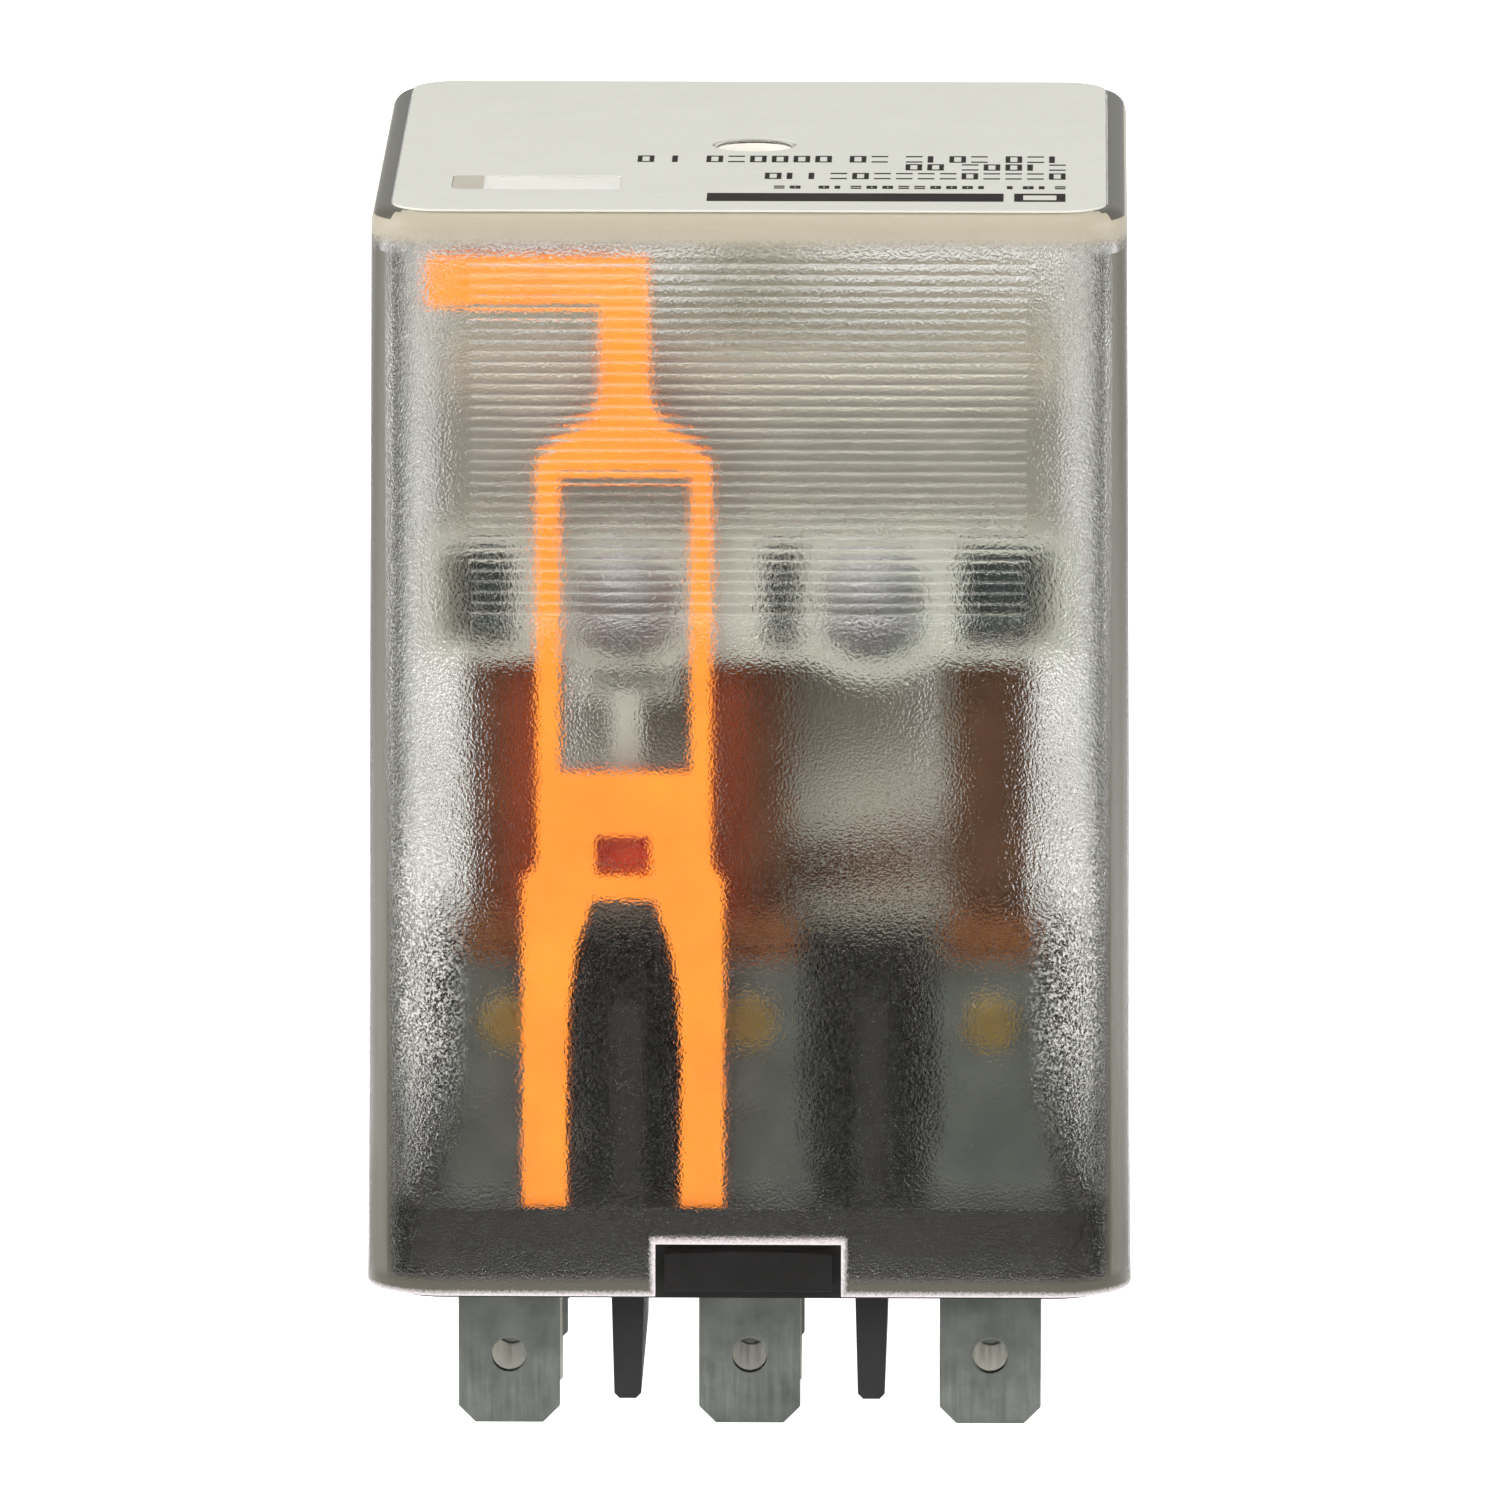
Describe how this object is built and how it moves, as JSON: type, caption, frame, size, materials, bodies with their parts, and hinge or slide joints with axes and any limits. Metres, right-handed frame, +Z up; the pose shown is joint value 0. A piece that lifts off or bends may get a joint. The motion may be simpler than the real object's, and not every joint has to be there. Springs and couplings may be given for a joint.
{
  "type": "plug in relay",
  "caption": "Plug-in changeover relay with a clear frosted cover, orange flag lever, white contact carrier, vertical AC coil and flat quick-connect blades under a black base.",
  "frame": {"origin": "centre of the base's seating face, the plane that the blades stand out of", "axes": "+X to the right, +Y to the rear, +Z up from the blades to the label"},
  "size_m": [0.0362, 0.0386, 0.059],
  "materials": {
    "clear_cover": "clear polycarbonate, frosted on its sides",
    "label_print": "pale grey-white satin film with black print",
    "black_base": "black moulded phenolic",
    "orange_plastic": "bright orange moulding",
    "white_plastic": "off-white moulding",
    "steel_rivet": "dull zinc-plated rivet",
    "tinned_blade": "dull tinned brass with fine scratches",
    "contact_metal": "gilt silver alloy contact",
    "spring_alloy": "dark phosphor bronze",
    "braid_copper": "stranded copper braid",
    "plated_steel": "zinc-plated soft iron",
    "core_iron": "turned soft iron",
    "bare_copper": "bare copper",
    "bobbin_plastic": "natural nylon",
    "winding_copper": "enamelled copper wire",
    "coil_tape": "pale polyester tape",
    "spring_steel": "bright spring wire"
  },
  "bodies": {
    "housing": {"cover": "clear_cover", "top_label": "label_print", "base": "black_base", "yoke": "plated_steel", "core": "core_iron", "shading_ring": "bare_copper", "bobbin": "bobbin_plastic", "coil_winding": "winding_copper", "coil_tape": "coil_tape", "coil_leads": "winding_copper", "return_spring": "spring_steel", "coil_terminal_a": "tinned_blade", "coil_terminal_b": "tinned_blade", "nc_terminal_1": "tinned_blade", "nc_terminal_2": "tinned_blade", "nc_terminal_3": "tinned_blade", "no_terminal_1": "tinned_blade", "no_terminal_2": "tinned_blade", "no_terminal_3": "tinned_blade", "com_terminal_1": "tinned_blade", "com_terminal_2": "tinned_blade", "com_terminal_3": "tinned_blade", "nc_contact_1": "contact_metal", "nc_contact_2": "contact_metal", "nc_contact_3": "contact_metal", "no_contact_1": "contact_metal", "no_contact_2": "contact_metal", "no_contact_3": "contact_metal", "pigtail_braid_1": "braid_copper", "pigtail_braid_2": "braid_copper", "pigtail_braid_3": "braid_copper"},
    "armature_set": {"armature": "plated_steel", "contact_carrier": "white_plastic", "carrier_rivets": "steel_rivet", "moving_spring_1": "spring_alloy", "moving_spring_2": "spring_alloy", "moving_spring_3": "spring_alloy", "moving_contact_1": "contact_metal", "moving_contact_2": "contact_metal", "moving_contact_3": "contact_metal", "braid_clip_1": "bare_copper", "braid_clip_2": "bare_copper", "braid_clip_3": "bare_copper"},
    "flag": {"flag_lever": "orange_plastic"},
    "plunger": {"test_plunger": "white_plastic"}
  },
  "joints": [
    {"name": "armature_swing", "type": "hinge", "parent": "housing", "child": "armature_set", "pos_m": [0, 0.0135, 0.0432], "axis": [1, 0, 0], "range_deg": [0, 2.4], "stiffness_Nm_per_rad": 0.03, "springref_deg": -14.32, "deforming": ["return_spring", "pigtail_braid_1", "pigtail_braid_2", "pigtail_braid_3"]},
    {"name": "flag_tilt", "type": "hinge", "parent": "housing", "child": "flag", "pos_m": [0, -0.0173, 0.0039], "axis": [1, 0, 0], "range_deg": [-3.1, 0]},
    {"name": "test_plunger_travel", "type": "slide", "parent": "housing", "child": "plunger", "axis": [0, 0, 1], "range_m": [-0.0006, 0]}
  ],
  "couplings": [
    {"joint": "flag_tilt", "follows": "armature_swing", "ratio": -1.2589},
    {"joint": "test_plunger_travel", "follows": "armature_swing", "m_per_rad": -0.0135}
  ]
}
